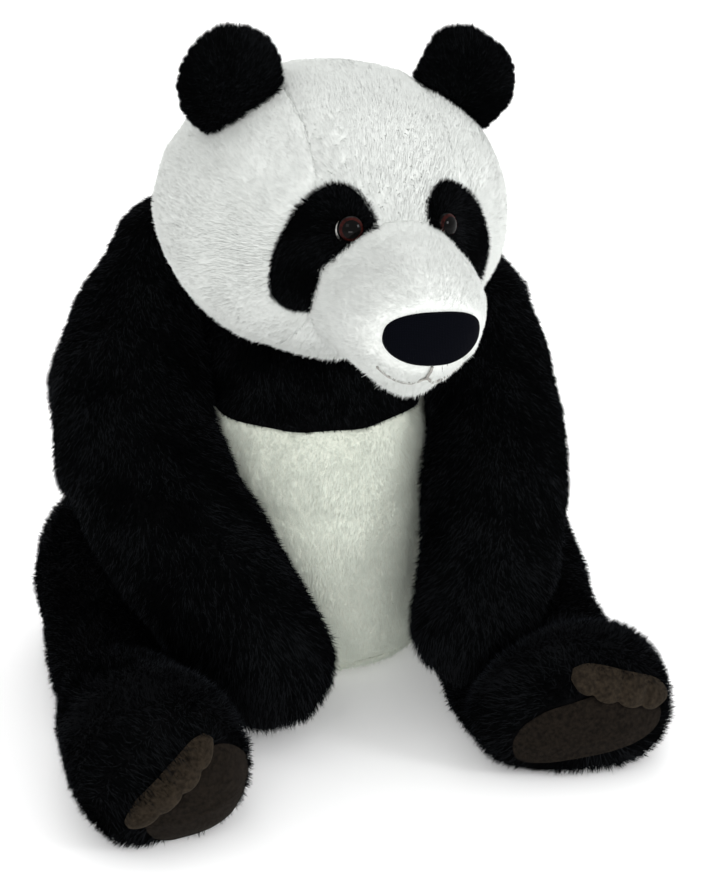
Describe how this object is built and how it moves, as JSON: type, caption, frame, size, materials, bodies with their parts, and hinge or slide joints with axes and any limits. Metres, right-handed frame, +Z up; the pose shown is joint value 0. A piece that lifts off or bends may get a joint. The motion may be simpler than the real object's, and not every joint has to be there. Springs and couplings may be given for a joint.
{
  "type": "plush panda",
  "caption": "Sitting plush panda with a head that turns and arms and legs that swing on sewn-in disc joints.",
  "frame": {"origin": "on the floor under the middle of the toy's outer box", "axes": "+Z up, the panda faces -Y, its left side is +X"},
  "size_m": [0.3471, 0.4001, 0.4111],
  "materials": {
    "black_plush": "deep soft pile",
    "white_plush": "short soft pile",
    "cream_plush": "very short smooth pile",
    "polyester_filling": "loose fibre",
    "pellet_pouch": "plain woven bag",
    "joint_disc": "plain hardboard",
    "zinc_steel": "zinc plated",
    "eye_gloss": "polished",
    "eye_brown": "clear brown",
    "eye_shank": "moulded",
    "nose_cloth": "closely woven, slightly shiny",
    "black_thread": "twisted thread",
    "brown_suede": "brushed suede",
    "tan_suede": "brushed suede"
  },
  "bodies": {
    "torso": {"chest_yoke": "black_plush", "belly_panel": "cream_plush", "back_panel": "white_plush", "seat_panel": "cream_plush", "tail": "white_plush", "torso_stuffing": "polyester_filling", "pellet_bag": "pellet_pouch", "neck_disc_body": "joint_disc", "neck_bolt": "zinc_steel", "neck_washers": "zinc_steel", "shoulder_disc_body_right": "joint_disc", "shoulder_disc_body_left": "joint_disc", "shoulder_bolt_right": "zinc_steel", "shoulder_bolt_left": "zinc_steel", "shoulder_washers_right": "zinc_steel", "shoulder_washers_left": "zinc_steel", "hip_disc_body_right": "joint_disc", "hip_disc_body_left": "joint_disc", "hip_bolt_right": "zinc_steel", "hip_bolt_left": "zinc_steel", "hip_washers_right": "zinc_steel", "hip_washers_left": "zinc_steel"},
    "head": {"neck_disc_head": "joint_disc", "crown_gusset": "white_plush", "head_side_right": "white_plush", "head_side_left": "white_plush", "throat_panel": "white_plush", "muzzle_cover": "white_plush", "head_stuffing": "polyester_filling", "ear_right": "black_plush", "ear_left": "black_plush", "eye_patch_right": "black_plush", "eye_patch_left": "black_plush", "eye_lens_right": "eye_gloss", "eye_lens_left": "eye_gloss", "eye_iris_right": "eye_brown", "eye_iris_left": "eye_brown", "eye_washer_right": "eye_shank", "eye_washer_left": "eye_shank", "nose_pad": "nose_cloth", "mouth_stitching": "black_thread"},
    "arm_right": {"shoulder_disc_arm_right": "joint_disc", "arm_cover_right": "black_plush", "arm_stuffing_right": "polyester_filling"},
    "arm_left": {"shoulder_disc_arm_left": "joint_disc", "arm_cover_left": "black_plush", "arm_stuffing_left": "polyester_filling"},
    "leg_right": {"hip_disc_leg_right": "joint_disc", "leg_cover_right": "black_plush", "leg_stuffing_right": "polyester_filling", "sole_pad_right": "brown_suede", "toe_pads_right": "tan_suede"},
    "leg_left": {"hip_disc_leg_left": "joint_disc", "leg_cover_left": "black_plush", "leg_stuffing_left": "polyester_filling", "sole_pad_left": "brown_suede", "toe_pads_left": "tan_suede"}
  },
  "joints": [
    {"name": "neck_swivel", "type": "hinge", "parent": "torso", "child": "head", "pos_m": [0, 0.0514, 0.2307], "axis": [0, -0.5736, 0.8192], "range_deg": [-22, 22]},
    {"name": "shoulder_right", "type": "hinge", "parent": "torso", "child": "arm_right", "pos_m": [-0.0664, 0.0765, 0.203], "axis": [-1, 0, 0], "range_deg": [0, 30]},
    {"name": "shoulder_left", "type": "hinge", "parent": "torso", "child": "arm_left", "pos_m": [0.0664, 0.0765, 0.203], "axis": [-1, 0, 0], "range_deg": [0, 30]},
    {"name": "hip_right", "type": "hinge", "parent": "torso", "child": "leg_right", "pos_m": [-0.0664, 0.0615, 0.054], "axis": [1, 0, 0], "range_deg": [0, 35]},
    {"name": "hip_left", "type": "hinge", "parent": "torso", "child": "leg_left", "pos_m": [0.0664, 0.0615, 0.054], "axis": [1, 0, 0], "range_deg": [0, 35]}
  ]
}
